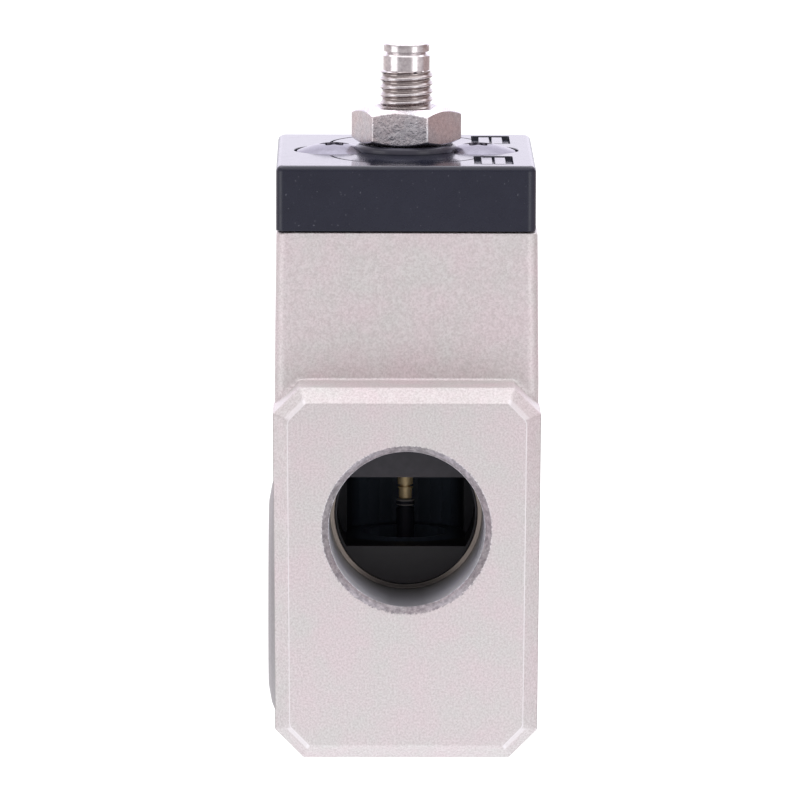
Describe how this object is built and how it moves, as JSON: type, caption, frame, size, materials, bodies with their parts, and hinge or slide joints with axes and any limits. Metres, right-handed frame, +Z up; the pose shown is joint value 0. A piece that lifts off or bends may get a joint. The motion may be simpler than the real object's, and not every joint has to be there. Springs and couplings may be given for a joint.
{
  "type": "soft-start valve",
  "caption": "Soft-start valve: die-cast housing with round port recesses, black cover, adjusting spindle with lock nut, and a spring-closed poppet that a piston pushes open.",
  "frame": {"origin": "middle of the base, on the axis that the poppet, piston and adjusting spindle share", "axes": "+Z up along the spindle, -Y out of the outlet port, +Y out of the inlet port, -X towards the gauge pad"},
  "size_m": [0.0508, 0.08, 0.1301],
  "materials": {
    "housing": "bare die casting, fine speckle",
    "cover": "smooth semi-gloss moulding",
    "black_steel": "black oxide",
    "plated_steel": "plated and machined",
    "spring_steel": "plain",
    "brass": "machined",
    "insert": "moulded",
    "rubber": "smooth",
    "aluminium": "turned"
  },
  "bodies": {
    "housing": {"valve_body": "housing", "outlet_insert": "insert", "top_cover": "cover", "cover_gasket": "rubber", "cover_screw_left": "black_steel", "cover_screw_right": "black_steel", "spindle_bushing": "brass", "spindle_seal": "rubber", "throttle_seat": "brass", "valve_cage": "insert", "cage_seal_lower": "rubber", "cage_seal_upper": "rubber", "valve_seat": "brass", "stem_guide": "brass", "stem_seal": "rubber", "bottom_plug": "insert", "bottom_plug_seal": "rubber", "retaining_ring": "spring_steel", "poppet_spring": "spring_steel", "gauge_plug": "plated_steel", "gauge_plug_seal": "rubber"},
    "main_valve": {"piston": "aluminium", "piston_seal": "rubber", "piston_stem": "brass", "piston_clip": "spring_steel", "poppet": "insert", "poppet_facing": "rubber"},
    "stop_ring": {"spindle_stop_ring": "spring_steel"},
    "spindle": {"adjusting_spindle": "plated_steel"},
    "nut_ring": {"nut_seal_ring": "rubber"},
    "lock_nut": {"lock_nut": "plated_steel"}
  },
  "joints": [
    {"name": "valve_lift", "type": "slide", "parent": "housing", "child": "main_valve", "axis": [0, 0, -1], "range_m": [0, 0.004], "stiffness_N_per_m": 1500, "springref_m": -0.004, "deforming": ["poppet_spring"]},
    {"name": "spindle_travel", "type": "slide", "parent": "housing", "child": "stop_ring", "axis": [0, 0, 1], "range_m": [-0.003, 0.003]},
    {"name": "spindle_turn", "type": "hinge", "parent": "stop_ring", "child": "spindle", "pos_m": [0, 0, 0.115], "axis": [0, 0, 1], "range_deg": [-715, 715]},
    {"name": "nut_travel", "type": "slide", "parent": "housing", "child": "nut_ring", "axis": [0, 0, 1], "range_m": [0, 0.003]},
    {"name": "nut_turn", "type": "hinge", "parent": "nut_ring", "child": "lock_nut", "pos_m": [0, 0, 0.1146], "axis": [0, 0, 1], "range_deg": [0, 715]}
  ],
  "couplings": [
    {"joint": "spindle_travel", "follows": "spindle_turn", "m_per_rad": 0.00023873},
    {"joint": "nut_travel", "follows": "nut_turn", "m_per_rad": 0.00023873}
  ]
}
